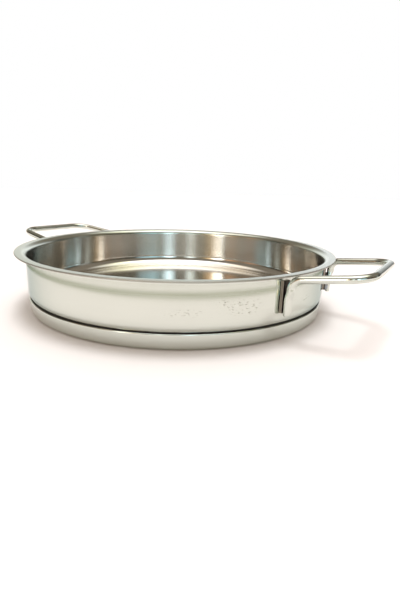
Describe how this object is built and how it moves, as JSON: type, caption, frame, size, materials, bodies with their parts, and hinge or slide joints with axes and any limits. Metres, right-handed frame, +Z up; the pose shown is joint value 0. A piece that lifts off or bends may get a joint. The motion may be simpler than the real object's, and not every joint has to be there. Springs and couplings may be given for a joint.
{
  "type": "two-handled low pan",
  "caption": "Low round steel cooking pan with a flat pouring lip, an encapsulated base and a bent-rod loop handle on each side.",
  "frame": {"origin": "centre of the base's underside, on the surface the pan stands on", "axes": "+X along the two handles, towards the one at the right of the reference view; +Z up along the pan's axis"},
  "size_m": [0.3886, 0.3002, 0.0585],
  "materials": {
    "shell_steel": "satin outside, polished inside, with fine scuffs",
    "cap_steel": "satin, circumferentially brushed",
    "core_aluminium": "rolled, enclosed in the base",
    "braze": "dark oxidised braze, seen as a thin line",
    "handle_steel": "polished rod, lightly brushed on the end bar",
    "bracket_steel": "satin pressed strip",
    "weld_steel": "ground flush, slightly heat tinted"
  },
  "bodies": {
    "root": {"pan_shell": "shell_steel", "upper_braze_layer": "braze", "aluminium_core": "core_aluminium", "lower_braze_layer": "braze", "base_cap": "cap_steel", "right_handle_rod": "handle_steel", "left_handle_rod": "handle_steel", "right_front_bracket": "bracket_steel", "right_rear_bracket": "bracket_steel", "left_front_bracket": "bracket_steel", "left_rear_bracket": "bracket_steel", "right_front_weld": "weld_steel", "right_rear_weld": "weld_steel", "left_front_weld": "weld_steel", "left_rear_weld": "weld_steel"}
  },
  "joints": []
}
